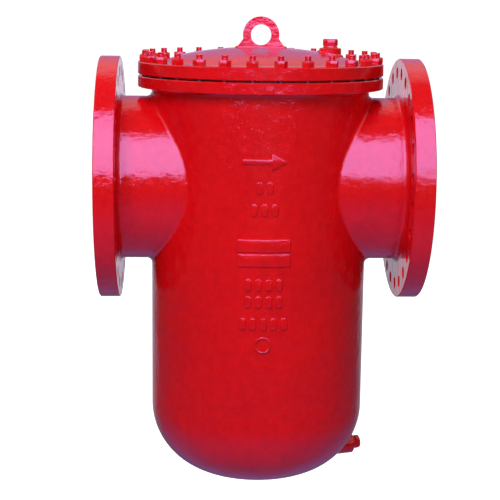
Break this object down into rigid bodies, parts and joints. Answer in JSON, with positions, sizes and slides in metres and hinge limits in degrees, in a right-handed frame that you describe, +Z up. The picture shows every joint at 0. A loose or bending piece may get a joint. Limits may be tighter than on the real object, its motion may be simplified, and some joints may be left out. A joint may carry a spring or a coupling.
{
  "type": "basket strainer",
  "caption": "Flanged in-line basket strainer: cast bowl with pipe flanges, bolted dished cover with lifting lug and vent plug, drain plug, and a lift-out basket on a slanted seat.",
  "frame": {"origin": "centre of the inlet flange's raised face", "axes": "+X along the pipe from inlet to outlet, +Z up along the bowl's axis, +Y away from the marked front"},
  "size_m": [0.942, 0.72, 1.3797],
  "materials": {
    "red_paint": "glossy sprayed enamel over cast steel",
    "stainless": "pickled stainless sheet and bar",
    "stainless_mesh": "woven stainless wire cloth",
    "graphite": "graphite filler between steel windings",
    "seal_metal": "soft copper sealing ring"
  },
  "bodies": {
    "vessel": {"bowl_tee": "red_paint", "bowl_bottom": "red_paint", "body_flange": "red_paint", "inlet_nozzle": "red_paint", "outlet_nozzle": "red_paint", "basket_seat": "red_paint", "drain_boss": "red_paint", "cover_studs": "red_paint", "gasket_inner_ring": "stainless", "gasket_winding": "graphite", "gasket_outer_ring": "stainless"},
    "basket_set": {"basket_rim": "stainless", "basket_shell": "stainless", "basket_mesh": "stainless_mesh", "basket_hoops": "stainless", "basket_floor": "stainless", "floor_mesh": "stainless_mesh", "bail_lugs": "stainless"},
    "bail": {"bail_handle": "stainless", "bail_washers": "stainless"},
    "cover_set": {"cover": "red_paint", "lifting_lug": "red_paint", "vent_boss": "red_paint", "hold_down_posts": "stainless"},
    "nut_set": {"cover_nuts": "red_paint"},
    "vent_ring": {"vent_seal": "seal_metal"},
    "vent_screw": {"vent_plug": "red_paint"},
    "drain_ring": {"drain_seal": "seal_metal"},
    "drain_screw": {"drain_plug": "red_paint"}
  },
  "joints": [
    {"name": "basket_lift", "type": "slide", "parent": "vessel", "child": "basket_set", "axis": [0, 0, 1], "range_m": [0, 1.05]},
    {"name": "bail_swing", "type": "hinge", "parent": "basket_set", "child": "bail", "pos_m": [0.471, 0, 0.03944], "axis": [0, -1, 0], "range_deg": [0, 178]},
    {"name": "cover_lift", "type": "slide", "parent": "basket_set", "child": "cover_set", "axis": [0, 0, 1], "range_m": [0, 0.6]},
    {"name": "nuts_off", "type": "slide", "parent": "cover_set", "child": "nut_set", "axis": [0, 0, 1], "range_m": [0, 0.04]},
    {"name": "vent_rise", "type": "slide", "parent": "cover_set", "child": "vent_ring", "axis": [0, 0, 1], "range_m": [0, 0.024]},
    {"name": "vent_turn", "type": "hinge", "parent": "vent_ring", "child": "vent_screw", "pos_m": [0.675, 0, 0.385], "axis": [0, 0, 1], "range_deg": [0, 3600]},
    {"name": "drain_out", "type": "slide", "parent": "vessel", "child": "drain_ring", "axis": [0.9511, 0.309, 0], "range_m": [0, 0.024]},
    {"name": "drain_turn", "type": "hinge", "parent": "drain_ring", "child": "drain_screw", "pos_m": [0.78009, 0.10043, -0.86422], "axis": [0.9511, 0.309, 0], "range_deg": [0, 3600]}
  ],
  "couplings": [
    {"joint": "vent_rise", "follows": "vent_turn", "m_per_rad": 0.00036749},
    {"joint": "drain_out", "follows": "drain_turn", "m_per_rad": 0.00036749}
  ]
}
